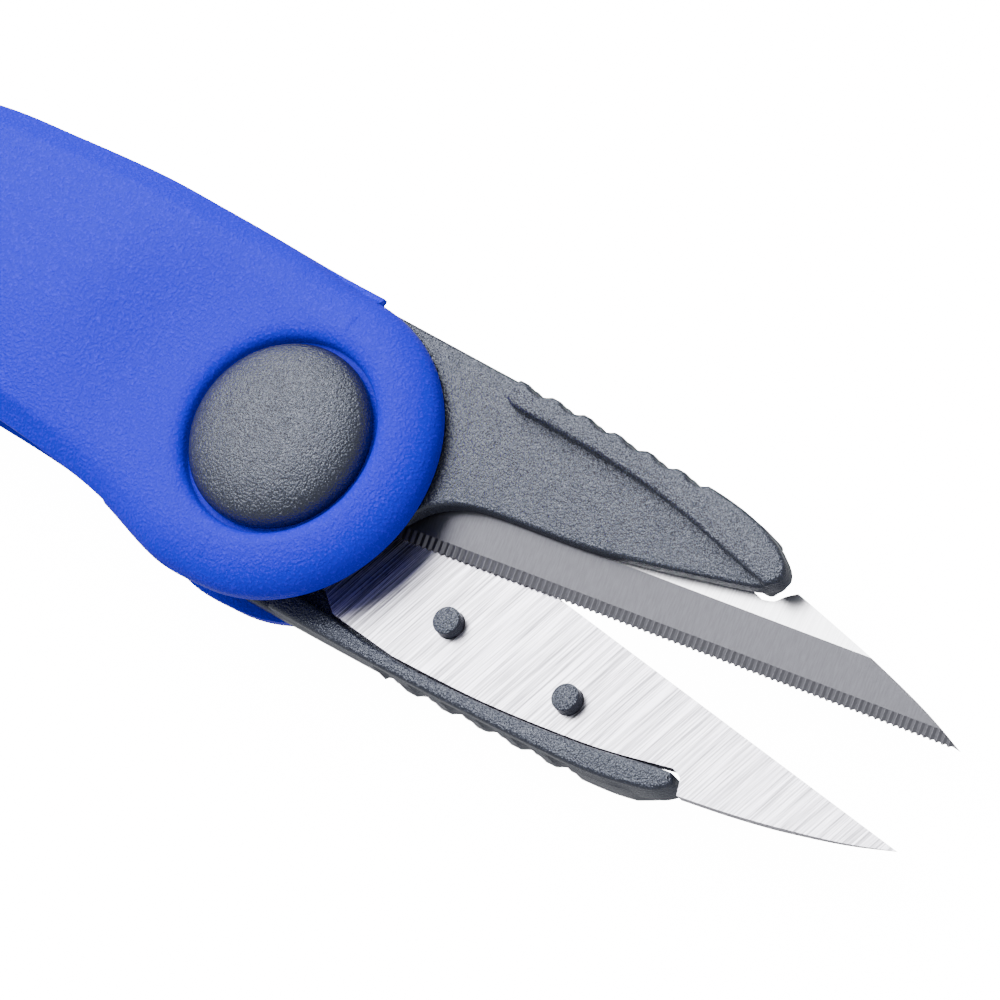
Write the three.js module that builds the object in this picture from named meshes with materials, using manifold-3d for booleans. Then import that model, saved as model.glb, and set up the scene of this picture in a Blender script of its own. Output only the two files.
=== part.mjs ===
// Folding thread snips: two spring-opened arms with steel blades, on a pivot inside a two-piece casing.
// Millimetres. +X points along the opened snips to the blade tips, +Z is the front, +Y is the closed
// back of the casing. The origin is on the pivot axis, on the flat centre of the rear button.
import * as THREE from 'three';
import { ParametricGeometry } from 'three/addons/geometries/ParametricGeometry.js';
import { mergeVertices } from 'three/addons/utils/BufferGeometryUtils.js';
import Module from 'manifold-3d';

const wasm = await Module();
wasm.setup();

// ---------- Driving dimensions ----------
const DISC_RADIUS = 12; // round end of the casing
const BUTTON_RADIUS = 7.1;
const BUTTON_TOP = 6.6; // above the middle plane, also half the overall thickness
const TAIL_X = -67; // far end of the casing
const TAIL_TURN_X = -54; // where the tail starts to round off
const TAIL_TURN_WIDTH = 8.4; // half width there
const CASING_TOP = 6.3; // highest point of the casing's crown
const LEDGE_X = 0.2; // the casing's straight sides start here
const SPINE_END_X = -3.6; // the wall between the casing halves starts here
const SPINE_WALL = 0.75;
const SLOT_INSET = 0.6; // the rear half is this much smaller round the disc and along the open side

const BLADE_TIP_X = 59.5;
const BLADE_TIP_Y = 4.2;
const BLADE_THICKNESS = 0.92;
const BLADE_GAP = 0.05; // from the middle plane to a blade's inner face
const EDGE_START_Y = -3.01; // height of the cutting edge's line over the pivot
const BEVEL_WIDTH = 3.9;
const TOOTH_PITCH = 0.533;
const TOOTH_DEPTH = 0.3;

const ARM_HALF_WIDTH = 12.05; // pivot line to the front arm's outer edge, arms open
const REAR_ARM_HALF_WIDTH = 10.6; // the rear arm is narrower
const BLADE_SEAT = 0.03; // between a blade and its arm's plate
const ARM_PLATE = 1.5;
const GRIP_RISE = 1.2; // the ribbed grip above the plate
const LIP_REACH = 0.35; // the lip's top past the middle plane
const HUB_RADIUS = 9.6;
const PEG_RADIUS = 1.07;
const RIB_COUNT = 6;
const RIB_RADIUS = 1.25;
const RIB_DEPTH = 0.38;

const SLEEVE_BORE = 1.7;
const SLEEVE_RADIUS = 2.6;
const FIT = 0.15; // running clearance on a radius
const WASHER = 0.2;
const WIRE_RADIUS = 0.28;
const COIL_RADIUS = 4.75;
const COIL_TURNS = 2;
const SCREW_RADIUS = 1.0;
const EYELET_BORE = 1.6;

// ---------- Sizes that follow from them ----------
const ARM_BASE = BLADE_GAP + BLADE_THICKNESS + BLADE_SEAT; // inner face of an arm's plate
const ARM_TOP = ARM_BASE + ARM_PLATE;
const GRIP_TOP = ARM_TOP + GRIP_RISE;
const HUB_CEILING = ARM_TOP + WASHER + FIT; // inner face of the casing around the pivot
const SLOT_CEILING = GRIP_TOP + 0.25; // inner face of the casing where the grips swing
const LIP_EDGE = SLOT_CEILING + 0.4; // top of the thin rim on the open side
const FACE_EDGE = LIP_EDGE + 1.2; // where the sloped side band meets the crowned face
const BAND_WIDTH = 1.6;
const DISC_SHOULDER = 3.6; // width of the rounding between the disc's rim and its flat top
const CROWN_START = 11; // the crown rises from the flat top between these distances from the pivot
const CROWN_FULL = 22;
const RIM_EDGE = HUB_CEILING + 0.5; // the disc's rim is this thick at its thinnest
const RING_TOP = FACE_EDGE - 0.35; // rounded crest around the button
const RECESS_FLOOR = HUB_CEILING + 1.15;
const RECESS_RADIUS = BUTTON_RADIUS + 0.4;
const CEILING_STEP = DISC_RADIUS + 2.3; // the low ceiling around the pivot ends at this radius
const SWEEP_RADIUS = Math.hypot(BLADE_TIP_X, BLADE_TIP_Y) + 0.5;
const EDGE_SLOPE = (BLADE_TIP_Y - EDGE_START_Y) / BLADE_TIP_X;
const LARGE = 200;

// ---------- Materials ----------
const plastic = (color) => new THREE.MeshStandardMaterial({ color, roughness: 0.5, metalness: 0 });
const steel = (color, roughness) => new THREE.MeshStandardMaterial({ color, roughness, metalness: 1 });
const blueMaterial = () => plastic(0x2b3df0);
const greyMaterial = () => plastic(0x3a434f);
const bladeMaterial = () => steel(0xc9c9d2, 0.35);
const hardwareMaterial = () => steel(0xb8b8bc, 0.3);
const springMaterial = () => steel(0x8f9196, 0.35);
const brassMaterial = () => steel(0xc8c4b8, 0.3);

// ---------- Solids ----------
function solid(geometry) {
  const bare = geometry.clone();
  bare.deleteAttribute('normal');
  bare.deleteAttribute('uv');
  const merged = mergeVertices(bare, 1e-5);
  const triangles = [];
  for (let i = 0; i < merged.index.count; i += 3) {
    const [a, b, c] = [0, 1, 2].map((k) => merged.index.getX(i + k));
    if (a !== b && b !== c && a !== c) triangles.push(a, b, c);
  }
  const mesh = new wasm.Mesh({
    numProp: 3,
    vertProperties: new Float32Array(merged.attributes.position.array),
    triVerts: new Uint32Array(triangles),
  });
  return new wasm.Manifold(mesh);
}

function geometryOf(manifold) {
  const mesh = manifold.getMesh();
  const geometry = new THREE.BufferGeometry();
  geometry.setAttribute('position', new THREE.BufferAttribute(mesh.vertProperties, 3));
  geometry.setIndex(new THREE.BufferAttribute(mesh.triVerts, 1));
  geometry.computeVertexNormals();
  return geometry;
}

const join = (first, ...others) => others.reduce((sum, next) => sum.add(next), first);
const cut = (first, ...tools) => tools.reduce((rest, tool) => rest.subtract(tool), first);

function cylinder(radius, low, high, x = 0, y = 0, sides = 32) {
  const geometry = new THREE.CylinderGeometry(radius, radius, high - low, sides);
  geometry.rotateX(Math.PI / 2);
  geometry.translate(x, y, (low + high) / 2);
  return solid(geometry);
}

function block(lowX, highX, lowY, highY, lowZ, highZ) {
  const geometry = new THREE.BoxGeometry(highX - lowX, highY - lowY, highZ - lowZ);
  geometry.translate((lowX + highX) / 2, (lowY + highY) / 2, (lowZ + highZ) / 2);
  return solid(geometry);
}

function slab(shape, low, high, curveSegments = 8) {
  const geometry = new THREE.ExtrudeGeometry(shape, { depth: high - low, bevelEnabled: false, curveSegments });
  geometry.translate(0, 0, low);
  return solid(geometry);
}

// A slab whose top and bottom edges are rounded off by the given amount.
function softSlab(shape, low, high, soft, curveSegments = 8) {
  const geometry = new THREE.ExtrudeGeometry(shape, {
    depth: high - low - 2 * soft,
    bevelThickness: soft,
    bevelSize: soft,
    bevelOffset: -soft,
    bevelSegments: 2,
    curveSegments,
  });
  geometry.translate(0, 0, low + soft);
  return solid(geometry);
}

// A body turned about the pivot axis; the profile is a closed list of [radius, height].
function turned(profile, sides = 64) {
  const points = profile.map(([radius, height]) => new THREE.Vector2(radius, height));
  const geometry = new THREE.LatheGeometry(points, sides);
  geometry.rotateX(Math.PI / 2);
  const body = solid(geometry);
  return body.volume() < 0 ? solid(flipped(geometry)) : body;
}

function flipped(geometry) {
  const copy = geometry.clone();
  const index = copy.index;
  for (let i = 0; i < index.count; i += 3) {
    const kept = index.getX(i);
    index.setX(i, index.getX(i + 1));
    index.setX(i + 1, kept);
  }
  return copy;
}

const ring = (inner, outer, low, high, sides) => turned(
  [[inner, low], [outer, low], [outer, high], [inner, high], [inner, low]], sides);

// The same piece turned half a turn about the snips' long axis: front pieces become rear pieces.
function toRear(manifold) {
  return manifold.rotate([180, 0, 0]);
}

// The same piece reflected in the middle plane, for the second casing half.
function mirrorInMiddle(manifold) {
  return manifold.mirror([0, 0, 1]);
}

// ---------- Casing outline ----------
// Middle line and half width of the casing along X, from the ledge back to the tail.
const casingStations = [
  { x: TAIL_TURN_X, middle: -2.8, half: TAIL_TURN_WIDTH },
  { x: -45, middle: -0.1, half: 9.4 },
  { x: -35.8, middle: 1.45, half: 9.95 },
  { x: -28.6, middle: 1.85, half: 10.25 },
  { x: -21, middle: 1.95, half: 10.65 },
  { x: -14.8, middle: 1.63, half: 11.0 },
  { x: -10.3, middle: 1.2, half: 11.4 },
  { x: -4.2, middle: 0.28, half: 12.2 },
  { x: LEDGE_X, middle: 0.24, half: 12.26 },
];
const middleCurve = new THREE.SplineCurve(casingStations.map(({ x, middle }) => new THREE.Vector2(x, middle)));
const halfCurve = new THREE.SplineCurve(casingStations.map(({ x, half }) => new THREE.Vector2(x, half)));
const TAIL_DROP = 5.2; // how far the middle line falls from the turn to the tail end

function curveAt(curve, x) {
  let low = 0;
  let high = 1;
  for (let step = 0; step < 40; step += 1) {
    const middle = (low + high) / 2;
    if (curve.getPoint(middle).x < x) low = middle;
    else high = middle;
  }
  return curve.getPoint(low).y;
}

function casingEdges(x, inset) {
  if (x > LEDGE_X) {
    const half = Math.sqrt(Math.max((DISC_RADIUS - inset) ** 2 - x ** 2, 0));
    return { upper: half, lower: -half };
  }
  const along = Math.max(TAIL_TURN_X - x, 0) / (TAIL_TURN_X - TAIL_X);
  const middle = x < TAIL_TURN_X
    ? casingStations[0].middle - TAIL_DROP * along
    : curveAt(middleCurve, x);
  const half = x < TAIL_TURN_X
    ? TAIL_TURN_WIDTH * Math.sqrt(Math.max(1 - along ** 2, 0))
    : curveAt(halfCurve, x);
  const narrower = inset * Math.min(half / TAIL_TURN_WIDTH, 1);
  const nearDisc = 1 - THREE.MathUtils.smoothstep(-x, 0, 3.5);
  return { upper: middle + half - inset * nearDisc, lower: middle - half + narrower };
}

// Height of the casing's outer face over a point, from the middle plane.
function faceHeight(x, y, edges, inset) {
  const disc = DISC_RADIUS - inset;
  const round = x > LEDGE_X ? disc - Math.hypot(x, y) : Math.min(edges.upper - y, y - edges.lower);
  const inward = Math.max(round, 0);
  const half = Math.max((edges.upper - edges.lower) / 2, 0.01);
  const past = (y > 0 ? edges.upper : -edges.lower) - disc;
  const ledge = x > LEDGE_X ? 0 : Math.max(past, 0) * (1 - THREE.MathUtils.smoothstep(-x, 1, 8));
  const turn = 1 - Math.min(Math.max(inward - ledge, 0) / DISC_SHOULDER, 1);
  const onDisc = RIM_EDGE + (RING_TOP - RIM_EDGE) * Math.sqrt(1 - turn ** 2);
  const across = THREE.MathUtils.clamp((inward - BAND_WIDTH) / Math.max(half - BAND_WIDTH, 0.01), 0, 1);
  const onBand = LIP_EDGE + (FACE_EDGE - LIP_EDGE) * Math.min(inward / BAND_WIDTH, 1);
  const onBody = onBand + (CASING_TOP - FACE_EDGE) * (1 - (1 - across) ** 2);
  const awayFromPivot = THREE.MathUtils.smoothstep(Math.hypot(x, y), CROWN_START, CROWN_FULL);
  const towardTail = THREE.MathUtils.smoothstep(-x, 0, 4);
  return onDisc + (onBody - onDisc) * awayFromPivot * towardTail;
}

// Stations along X, closer together where the outline turns.
function stationList(inset) {
  const disc = DISC_RADIUS - inset;
  const list = [];
  const discEnd = Math.acos((LEDGE_X + 0.05) / disc);
  for (let i = 0; i <= 12; i += 1) list.push(disc * Math.cos((i / 12) * discEnd));
  list.push(LEDGE_X + 1e-3, LEDGE_X);
  for (let x = LEDGE_X - 3; x > TAIL_TURN_X; x -= 3.2) list.push(x);
  for (let i = 0; i <= 10; i += 1) {
    list.push(TAIL_TURN_X + (TAIL_X - TAIL_TURN_X) * Math.sin((i / 10) * (Math.PI / 2)));
  }
  return list.filter((x, i) => i === 0 || x < list[i - 1] - 5e-4);
}

// One casing half before it is hollowed: a closed band of cross-sections standing on the middle plane.
function casingBlank(inset) {
  const stations = stationList(inset);
  const across = 20;
  const around = across + 4;
  const surface = (u, v, target) => {
    const x = stations[Math.round(u * (stations.length - 1))];
    const edges = casingEdges(x, inset);
    const step = Math.round(v * around) % around;
    if (step === across + 2 || step === 0) {
      target.set(x, step === 0 ? edges.lower : edges.upper, 0);
    } else if (step === across + 3) {
      target.set(x, (edges.lower + edges.upper) / 2, 0);
    } else {
      const share = (1 - Math.cos(((step - 1) / across) * Math.PI)) / 2;
      const y = edges.lower + (edges.upper - edges.lower) * share;
      target.set(x, y, faceHeight(x, y, edges, inset));
    }
  };
  const geometry = new ParametricGeometry(surface, stations.length - 1, around);
  const body = solid(geometry);
  return body.volume() < 0 ? solid(flipped(geometry)) : body;
}

// ---------- Casing halves ----------
const screwSpots = [{ x: -47, y: 5.6 }, { x: -57, y: 1.2 }];
const eyeletSpot = { x: TAIL_X + 4.1, y: -6.6 };
const BOSS_RADIUS = 1.95;
const HEAD_RADIUS = 1.9;
const HEAD_SEAT = SLOT_CEILING + 0.35; // how far from the middle plane a screw head sits

// The hollow the snips swing through: everything inside the closed back and the tail.
function cavity() {
  const inner = new THREE.Shape();
  const reach = 30;
  inner.moveTo(SPINE_END_X, casingEdges(SPINE_END_X, 0).upper - SPINE_WALL);
  const end = -SWEEP_RADIUS;
  for (let x = SPINE_END_X - 2; x > end + 8.15; x -= 3) inner.lineTo(x, casingEdges(x, 0).upper - SPINE_WALL);
  inner.lineTo(end + 5.15, casingEdges(end + 5.15, 0).upper - 1.2);
  inner.lineTo(end + 1.65, casingEdges(end + 1.65, 0).upper - 2.4);
  inner.lineTo(end, 0);
  inner.absarc(0, 0, SWEEP_RADIUS, Math.PI, Math.PI * 1.13, false);
  inner.lineTo(end + 10, -reach);
  inner.lineTo(SPINE_END_X, -reach);
  const tall = slab(inner, -SLOT_CEILING, SLOT_CEILING, 24);
  const ceilingStep = ring(0, CEILING_STEP, HUB_CEILING, LARGE, 64);
  const body = cut(tall, ceilingStep, mirrorInMiddle(ceilingStep));
  const openEnd = block(SPINE_END_X, DISC_RADIUS * 2, -reach, reach, -HUB_CEILING, HUB_CEILING);
  return join(body, openEnd);
}

// The dished seat for a button, with a rounded crest.
function buttonSeat() {
  return turned([
    [0, RECESS_FLOOR], [RECESS_RADIUS, RECESS_FLOOR], [RECESS_RADIUS, RING_TOP - 0.7],
    [RECESS_RADIUS + 0.2, RING_TOP - 0.25], [RECESS_RADIUS + 0.7, RING_TOP - 0.05],
    [RECESS_RADIUS + 1.4, RING_TOP + 0.05], [RECESS_RADIUS + 1.4, LARGE], [0, LARGE], [0, RECESS_FLOOR],
  ]);
}

const screwBosses = () => screwSpots.map(({ x, y }) => cylinder(BOSS_RADIUS, 0, LIP_EDGE, x, y, 20));

function casingHalf(inset) {
  const upright = cut(casingBlank(inset), cavity());
  const filled = join(upright, ...screwBosses());
  const eyeletHole = cylinder(EYELET_BORE + 0.65, -1, LARGE, eyeletSpot.x, eyeletSpot.y, 24);
  const eyeletSeat = cylinder(EYELET_BORE + 1.5, LIP_EDGE, LARGE, eyeletSpot.x, eyeletSpot.y, 24);
  const pivotHole = cylinder(SLEEVE_BORE, -1, LARGE);
  const parting = block(-LARGE, LARGE, -LARGE, LARGE, -LARGE, 0.01);
  return cut(filled, buttonSeat(), pivotHole, eyeletHole, eyeletSeat, parting);
}

function frontShell() {
  const pilots = screwSpots.map(({ x, y }) => cylinder(SCREW_RADIUS + 0.03, -1, SLOT_CEILING, x, y, 16));
  return cut(casingHalf(0), ...pilots);
}

function rearShell() {
  const holes = screwSpots.map(({ x, y }) => cylinder(SCREW_RADIUS + 0.15, -1, LARGE, x, y, 16));
  const seats = screwSpots.map(({ x, y }) => cylinder(HEAD_RADIUS + 0.2, HEAD_SEAT, LARGE, x, y, 20));
  return mirrorInMiddle(cut(casingHalf(SLOT_INSET), ...holes, ...seats));
}

// ---------- Pivot ----------
const PIVOT_HEAD_RADIUS = 2.9;
const PIVOT_HEAD = 1.1;
const THREAD_RADIUS = SLEEVE_BORE - 0.1;

// A domed cap with a hollow for the screw head or the nut; the centre of the dome is flat.
function buttonCap() {
  const base = RECESS_FLOOR;
  const shoulder = BUTTON_TOP - 1.75;
  const flat = 1.6;
  const rise = BUTTON_TOP - shoulder;
  const profile = [[0, base + 1.6], [4.2, base + 1.3], [4.6, base], [BUTTON_RADIUS - 0.35, base]];
  profile.push([BUTTON_RADIUS, base + 0.35], [BUTTON_RADIUS, shoulder - 0.3]);
  const steps = 6;
  for (let i = 0; i <= steps; i += 1) {
    const along = i / steps;
    const radius = BUTTON_RADIUS - 0.1 + (flat - BUTTON_RADIUS + 0.1) * along;
    profile.push([radius, shoulder + rise * Math.sqrt(1 - (1 - along) ** 2)]);
  }
  profile.push([0, BUTTON_TOP], [0, base + 1.6]);
  return turned(profile, 40);
}

function pivotScrew() {
  const bottom = -RECESS_FLOOR - 1.1;
  const top = RECESS_FLOOR;
  const body = turned([
    [0, bottom], [THREAD_RADIUS, bottom], [THREAD_RADIUS, top], [PIVOT_HEAD_RADIUS, top],
    [PIVOT_HEAD_RADIUS, top + PIVOT_HEAD * 0.6], [PIVOT_HEAD_RADIUS - 0.5, top + PIVOT_HEAD],
    [0, top + PIVOT_HEAD], [0, bottom],
  ], 32);
  const slot = block(-PIVOT_HEAD_RADIUS * 2, PIVOT_HEAD_RADIUS * 2, -0.35, 0.35, top + 0.55, top + 2);
  return cut(body, slot);
}

function pivotNut() {
  const nut = cylinder(3.1, -RECESS_FLOOR - 1.1, -RECESS_FLOOR, 0, 0, 6);
  return cut(nut, cylinder(THREAD_RADIUS + 0.05, -LARGE, LARGE));
}

const pivotSleeve = () => ring(SLEEVE_BORE, SLEEVE_RADIUS, -HUB_CEILING + 0.02, HUB_CEILING - 0.02, 32);
const thrustWasher = () => ring(SLEEVE_RADIUS + FIT, 6.2, ARM_TOP + 0.05, ARM_TOP + 0.05 + WASHER, 40);
const springCarrier = () => ring(SLEEVE_RADIUS + FIT, 4.1, FIT - ARM_BASE, ARM_BASE - FIT, 32);

// ---------- Return spring ----------
const COIL_PITCH = 2 * WIRE_RADIUS + 0.06;
const SPRING_LEG = 1.9; // how far a leg reaches past the coil
const SPRING_HALF_HEIGHT = (COIL_PITCH * COIL_TURNS) / 2 + WIRE_RADIUS;

function springPath() {
  const points = [];
  const height = COIL_PITCH;
  const legStart = 0.35;
  const total = COIL_TURNS * 2 * Math.PI + legStart * 2;
  const steps = 40;
  const at = (angle, radius, z) => new THREE.Vector3(radius * Math.cos(angle), radius * Math.sin(angle), z);
  const low = (-height * COIL_TURNS) / 2;
  points.push(at(0.12, COIL_RADIUS + SPRING_LEG, low), at(-0.02, COIL_RADIUS + 0.9, low));
  for (let i = 0; i <= steps; i += 1) {
    const angle = -legStart + (total * i) / steps;
    points.push(at(angle, COIL_RADIUS, low + (height * COIL_TURNS * i) / steps));
  }
  points.push(at(0.02, COIL_RADIUS + 0.9, -low), at(-0.12, COIL_RADIUS + SPRING_LEG, -low));
  return new THREE.CatmullRomCurve3(points, false, 'centripetal');
}

function returnSpring() {
  const wire = new THREE.Shape();
  wire.absarc(0, 0, WIRE_RADIUS, 0, Math.PI * 2, false);
  const geometry = new THREE.ExtrudeGeometry(wire, {
    steps: 72, extrudePath: springPath(), bevelEnabled: false, curveSegments: 3,
  });
  const body = solid(geometry);
  return body.volume() < 0 ? solid(flipped(geometry)) : body;
}

// ---------- Arms ----------
const point = (x, y) => new THREE.Vector2(x, y);

// What differs between the arms: the outer edge, the end (back from the reach) and the spacing of the ribs.
const frontSide = {
  half: ARM_HALF_WIDTH,
  edge: [[20, 0], [27, 0.15], [32, 0.25], [35, 0.5], [37.5, 0.95]],
  end: [[-1.8, 10.35], [-0.5, 9.5], [0, 8.7], [-0.3, 7.95], [-1, 7.4]],
  reach: { grip: 41.3, plate: 40.5, lip: 39.75 },
  ribStart: 15.6,
  ribPitch: 3.02,
};
const rearSide = {
  half: REAR_ARM_HALF_WIDTH,
  edge: [[20, 0.1], [27, 0.3], [32, 0.5], [35, 0.75], [37, 1.1]],
  end: [[-1.5, 8.95], [-0.4, 8.3], [0, 7.75], [-0.25, 7.35], [-0.9, 7.05]],
  reach: { grip: 39.6, plate: 40.3, lip: 40.95 },
  ribStart: 14.6,
  ribPitch: 3.28,
};
const GRIP_START_X = 13.5;

const outerEdge = (side) => [
  point(0.2, side.half - 0.6), point(0.9, side.half), point(GRIP_START_X, side.half),
  ...side.edge.map(([x, drop]) => point(x, side.half - drop)),
];
const roundedEnd = (side, reach) => side.end.map(([back, y]) => point(reach + back, y));
const innerEdge = () => [
  point(38.2, 6.9), point(34.5, 5.95), point(30.5, 4.95), point(24.8, 3.75), point(17.3, 2.8),
  point(14.4, 2.1), point(12.4, 0.9), point(11, -0.9),
];
const lipEdge = () => [
  point(36, 7.75), point(32.1, 8.4), point(23.7, 9.25), point(15.2, 9.5), point(8.6, 8.95),
];
const gripEdge = () => [
  point(35.8, 8.25), point(31.6, 9.05), point(27.1, 9.65), point(21.7, 9.95), point(14.2, 10.05),
  point(GRIP_START_X, 10.3),
];

function shapeThrough(points) {
  const shape = new THREE.Shape();
  shape.setFromPoints(points);
  return shape;
}

function armPlate(side) {
  const hub = [];
  const startAngle = -0.5;
  const endAngle = -2 * Math.PI + Math.PI * 0.54;
  for (let i = 0; i <= 24; i += 1) {
    const angle = startAngle + ((endAngle - startAngle) * i) / 24;
    hub.push(point(HUB_RADIUS * Math.cos(angle), HUB_RADIUS * Math.sin(angle)));
  }
  const outline = [...outerEdge(side), ...roundedEnd(side, side.reach.plate), ...innerEdge(), ...hub];
  return softSlab(shapeThrough(outline), ARM_BASE, ARM_TOP, 0.25);
}

function armLip(side) {
  const outline = [
    point(4.2, 8.6), point(4.2, side.half), ...outerEdge(side).slice(2),
    ...roundedEnd(side, side.reach.lip), ...lipEdge(),
  ];
  return softSlab(shapeThrough(outline), -LIP_REACH, ARM_TOP - 0.3, 0.25);
}

// The grip is narrower than the arm where the rear arm is, so its inner edge follows the outer one.
function armGrip(side) {
  const narrower = (ARM_HALF_WIDTH - side.half) * 0.55;
  const inner = gripEdge().map(({ x, y }) => point(x, y - narrower));
  const outline = [...outerEdge(side).slice(2), ...roundedEnd(side, side.reach.grip), ...inner];
  return softSlab(shapeThrough(outline), ARM_TOP - 0.6, GRIP_TOP, 0.3);
}

// Distance from the pivot line to an arm's outer edge over a point along it.
function edgeOver(side, x) {
  const line = outerEdge(side);
  const next = line.findIndex((p) => p.x > x);
  const [before, after] = [line[next - 1], line[next]];
  return before.y + ((after.y - before.y) * (x - before.x)) / (after.x - before.x);
}

// Half-round grooves down the outer side of the grip.
function ribGrooves(side) {
  const grooves = [];
  for (let i = 0; i < RIB_COUNT; i += 1) {
    const x = side.ribStart + side.ribPitch * i;
    const y = edgeOver(side, x) + RIB_RADIUS - RIB_DEPTH;
    grooves.push(cylinder(RIB_RADIUS, 0.3, GRIP_TOP + 1, x, y, 16));
  }
  return grooves;
}

const pegSpots = [{ x: 17.9, y: 5.35 }, { x: 29.8, y: 6.08 }];

// An arm as it lies in front of the middle plane; the rear arm is turned over afterwards.
function arm(side) {
  const pegs = pegSpots.map(({ x, y }) => cylinder(PEG_RADIUS, -BLADE_THICKNESS + 0.02, ARM_TOP - 0.5, x, y, 24));
  const full = join(armPlate(side), armLip(side), armGrip(side), ...pegs);
  const bore = cylinder(SLEEVE_RADIUS + FIT, -LARGE, LARGE);
  const springRoom = cylinder(COIL_RADIUS + SPRING_LEG + 0.5, -LARGE, SPRING_HALF_HEIGHT + 0.1);
  return cut(full, bore, springRoom, ...ribGrooves(side));
}

// ---------- Blades ----------
const edgeHeight = (x) => EDGE_START_Y + EDGE_SLOPE * x;

// The blade's back passes round the end of its arm's lip here.
const frontNotch = () => [point(41.5, 8.45), point(40.75, 7.85), point(40.15, 7.15), point(39.2, 6.85)];
const rearNotch = () => [point(41.6, 8.3), point(41.35, 7.7), point(41, 7.05), point(40.1, 6.7)];

// How far the blade's back bows out from a straight line, at shares of the way from the notch to the tip.
const backBulge = [[0.767, 0.36], [0.478, 0.38], [0.239, 0.22]];

function bladeOutline(notch, toothed) {
  const seat = 0.15;
  const points = [];
  const start = 7.6;
  const slope = Math.hypot(1, EDGE_SLOPE);
  const count = Math.floor(((BLADE_TIP_X - 1 - start) * slope) / TOOTH_PITCH);
  points.push(point(start, edgeHeight(start)));
  for (let i = 0; toothed && i < count; i += 1) {
    const valley = start + ((i + 0.5) * TOOTH_PITCH) / slope;
    const peak = start + ((i + 1) * TOOTH_PITCH) / slope;
    points.push(point(valley, edgeHeight(valley) + TOOTH_DEPTH), point(peak, edgeHeight(peak)));
  }
  points.push(point(BLADE_TIP_X, BLADE_TIP_Y));
  backBulge.forEach(([share, bulge]) => {
    const x = notch[0].x + (BLADE_TIP_X - notch[0].x) * share;
    points.push(point(x, notch[0].y + (BLADE_TIP_Y - notch[0].y) * share + bulge));
  });
  points.push(...notch);
  lipEdge().slice(0, 4).forEach(({ x, y }) => points.push(point(x, y - seat)));
  points.push(point(9, 8.75));
  for (let i = 0; i <= 8; i += 1) {
    const angle = 0.86 - (0.86 + 0.2) * (i / 8);
    points.push(point(7.3 * Math.cos(angle), 7.3 * Math.sin(angle)));
  }
  return shapeThrough(points);
}

// The ground bevel: a wedge taken off the outer face along the cutting edge.
function bevelWedge(width) {
  const edge = 0.08;
  const wedge = new THREE.Shape();
  wedge.moveTo(-1, edge - (BLADE_THICKNESS - edge) / width);
  wedge.lineTo(width, BLADE_THICKNESS);
  wedge.lineTo(width, BLADE_THICKNESS + 1);
  wedge.lineTo(-1, BLADE_THICKNESS + 1);
  const geometry = new THREE.ExtrudeGeometry(wedge, { depth: LARGE, bevelEnabled: false });
  geometry.rotateX(Math.PI / 2);
  geometry.rotateZ(Math.PI / 2);
  geometry.translate(-LARGE / 2, 0, 0);
  const body = solid(geometry);
  const angle = (Math.atan(EDGE_SLOPE) * 180) / Math.PI;
  return body.rotate([0, 0, angle]).translate([0, EDGE_START_Y, BLADE_GAP]);
}

function blade(notch, toothed) {
  const flat = slab(bladeOutline(notch, toothed), BLADE_GAP, BLADE_GAP + BLADE_THICKNESS);
  const holes = pegSpots.map(({ x, y }) => cylinder(PEG_RADIUS + 0.05, -1, 3, x, y, 24));
  return cut(flat, bevelWedge(BEVEL_WIDTH), ...holes);
}

// ---------- Fasteners ----------
function shellScrew({ x, y }) {
  const body = turned([
    [0, -HEAD_SEAT - 0.9], [HEAD_RADIUS - 0.3, -HEAD_SEAT - 0.9], [HEAD_RADIUS, -HEAD_SEAT - 0.5],
    [HEAD_RADIUS, -HEAD_SEAT], [SCREW_RADIUS, -HEAD_SEAT], [SCREW_RADIUS, SLOT_CEILING - 0.6],
    [0, SLOT_CEILING - 0.1], [0, -HEAD_SEAT - 0.9],
  ], 20);
  const cross = [[1.1, 0.22], [0.22, 1.1]].map(([a, b]) => (
    block(-a, a, -b, b, -HEAD_SEAT - 2, -HEAD_SEAT - 0.45)));
  return cut(body, ...cross).translate([x, y, 0]);
}

function tailEyelet() {
  const flange = LIP_EDGE;
  const wall = EYELET_BORE + 0.55;
  const body = turned([
    [EYELET_BORE, -flange - 0.35], [EYELET_BORE + 1.2, -flange - 0.35], [EYELET_BORE + 1.35, -flange],
    [wall, -flange], [wall, flange], [EYELET_BORE + 1.35, flange], [EYELET_BORE + 1.2, flange + 0.35],
    [EYELET_BORE, flange + 0.35], [EYELET_BORE, -flange - 0.35],
  ], 28);
  return body.translate([eyeletSpot.x, eyeletSpot.y, 0]);
}

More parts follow.
